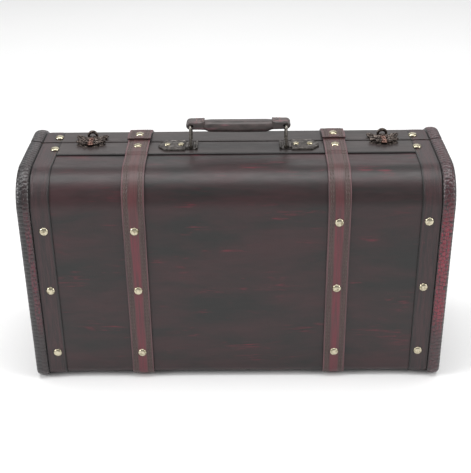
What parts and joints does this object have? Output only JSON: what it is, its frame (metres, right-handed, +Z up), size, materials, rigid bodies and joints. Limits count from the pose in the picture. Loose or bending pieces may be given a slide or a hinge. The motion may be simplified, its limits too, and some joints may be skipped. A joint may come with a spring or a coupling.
{
  "type": "vintage travel case",
  "caption": "Retro faux-leather travel case with a hinged lid, straps, antique latches, brass dome nails and a carrying handle on wire rings.",
  "frame": {"origin": "middle of the footprint, on the surface that the case stands on", "axes": "+X along the width to the right, -Y out of the front, +Z up"},
  "size_m": [0.42, 0.1504, 0.2578],
  "materials": {
    "case_leather": "dark brown-black faux leather, satin, rubbed with deep red",
    "end_leather": "black-brown faux leather, satin",
    "case_board": "plain fibreboard",
    "lining_cloth": "dark red-brown lining cloth",
    "rim_leather": "smooth dark brown leather strip",
    "band_leather": "smooth brown leather strip, edge grooved",
    "binding_leather": "dark red embossed edge binding",
    "strap_leather": "red-brown strap leather with two stitched edges",
    "handle_leather": "grey-brown handle leather, stitched",
    "handle_core": "wound cord core",
    "nail_brass": "pale antique brass, worn bright",
    "latch_metal": "antique bronze, dark in the hollows",
    "plate_metal": "dark antique plated steel",
    "ring_metal": "aged steel wire",
    "hinge_metal": "antique brass"
  },
  "bodies": {
    "body": {"body_board": "case_board", "body_cover": "case_leather", "body_lining": "lining_cloth", "body_rim_trim": "rim_leather", "body_nails": "nail_brass", "body_end_board_left": "case_board", "body_end_cover_left": "end_leather", "body_binding_left": "binding_leather", "body_band_left": "band_leather", "body_strap_left": "strap_leather", "body_end_board_right": "case_board", "body_end_cover_right": "end_leather", "body_binding_right": "binding_leather", "body_band_right": "band_leather", "body_strap_right": "strap_leather", "hinge_leaves_body": "hinge_metal", "hinge_screws_body": "hinge_metal", "latch_pins_body": "latch_metal", "handle_plate_left": "plate_metal", "latch_catch_left": "latch_metal", "handle_plate_right": "plate_metal", "latch_catch_right": "latch_metal", "handle_nails": "nail_brass", "hinge_pins": "hinge_metal", "strap_snap_studs": "ring_metal"},
    "lid": {"lid_board": "case_board", "lid_cover": "case_leather", "lid_lining": "lining_cloth", "lid_rim_trim": "rim_leather", "lid_nails": "nail_brass", "lid_end_board_left": "case_board", "lid_end_cover_left": "end_leather", "lid_binding_left": "binding_leather", "lid_band_left": "band_leather", "lid_strap_left": "strap_leather", "lid_end_board_right": "case_board", "lid_end_cover_right": "end_leather", "lid_binding_right": "binding_leather", "lid_band_right": "band_leather", "lid_strap_right": "strap_leather", "hinge_leaves_lid": "hinge_metal", "hinge_screws_lid": "hinge_metal", "latch_pins_lid": "latch_metal", "latch_plate_left": "latch_metal", "latch_plate_right": "latch_metal", "latch_hinge_pins": "latch_metal"},
    "hasp_left": {"hasp_left": "latch_metal"},
    "hasp_right": {"hasp_right": "latch_metal"},
    "tab_left": {"strap_tab_left": "strap_leather", "tab_snap_left": "nail_brass"},
    "tab_right": {"strap_tab_right": "strap_leather", "tab_snap_right": "nail_brass"},
    "ring_left": {"handle_ring_left": "ring_metal"},
    "ring_right": {"handle_ring_right": "ring_metal"},
    "grip": {"handle_grip": "handle_leather", "handle_core": "handle_core"}
  },
  "joints": [
    {"name": "lid_swing", "type": "hinge", "parent": "body", "child": "lid", "pos_m": [0, 0.017, 0.0029], "axis": [-1, 0, 0], "range_deg": [0, 100]},
    {"name": "hasp_left_lift", "type": "hinge", "parent": "lid", "child": "hasp_left", "pos_m": [-0.14675, 0.0215, 0.2314], "axis": [-1, 0, 0], "range_deg": [0, 105]},
    {"name": "hasp_right_lift", "type": "hinge", "parent": "lid", "child": "hasp_right", "pos_m": [0.14975, 0.0215, 0.2314], "axis": [-1, 0, 0], "range_deg": [0, 105]},
    {"name": "tab_left_lift", "type": "hinge", "parent": "lid", "child": "tab_left", "pos_m": [-0.0982, 0.035, 0.2306], "axis": [-1, 0, 0], "range_deg": [0, 100]},
    {"name": "tab_right_lift", "type": "hinge", "parent": "lid", "child": "tab_right", "pos_m": [0.0996, 0.035, 0.2306], "axis": [-1, 0, 0], "range_deg": [0, 100]},
    {"name": "ring_left_swing", "type": "hinge", "parent": "body", "child": "ring_left", "pos_m": [-0.0446, 0.004, 0.2318], "axis": [0, 1, 0], "range_deg": [-60, 60]},
    {"name": "ring_right_swing", "type": "hinge", "parent": "body", "child": "ring_right", "pos_m": [0.0504, 0.004, 0.2318], "axis": [0, 1, 0], "range_deg": [-60, 60]},
    {"name": "grip_level", "type": "hinge", "parent": "ring_left", "child": "grip", "pos_m": [-0.0446, 0.004, 0.2535], "axis": [0, 1, 0], "range_deg": [-60, 60]}
  ],
  "couplings": [
    {"joint": "ring_right_swing", "follows": "ring_left_swing", "ratio": 1},
    {"joint": "grip_level", "follows": "ring_left_swing", "ratio": -1}
  ]
}
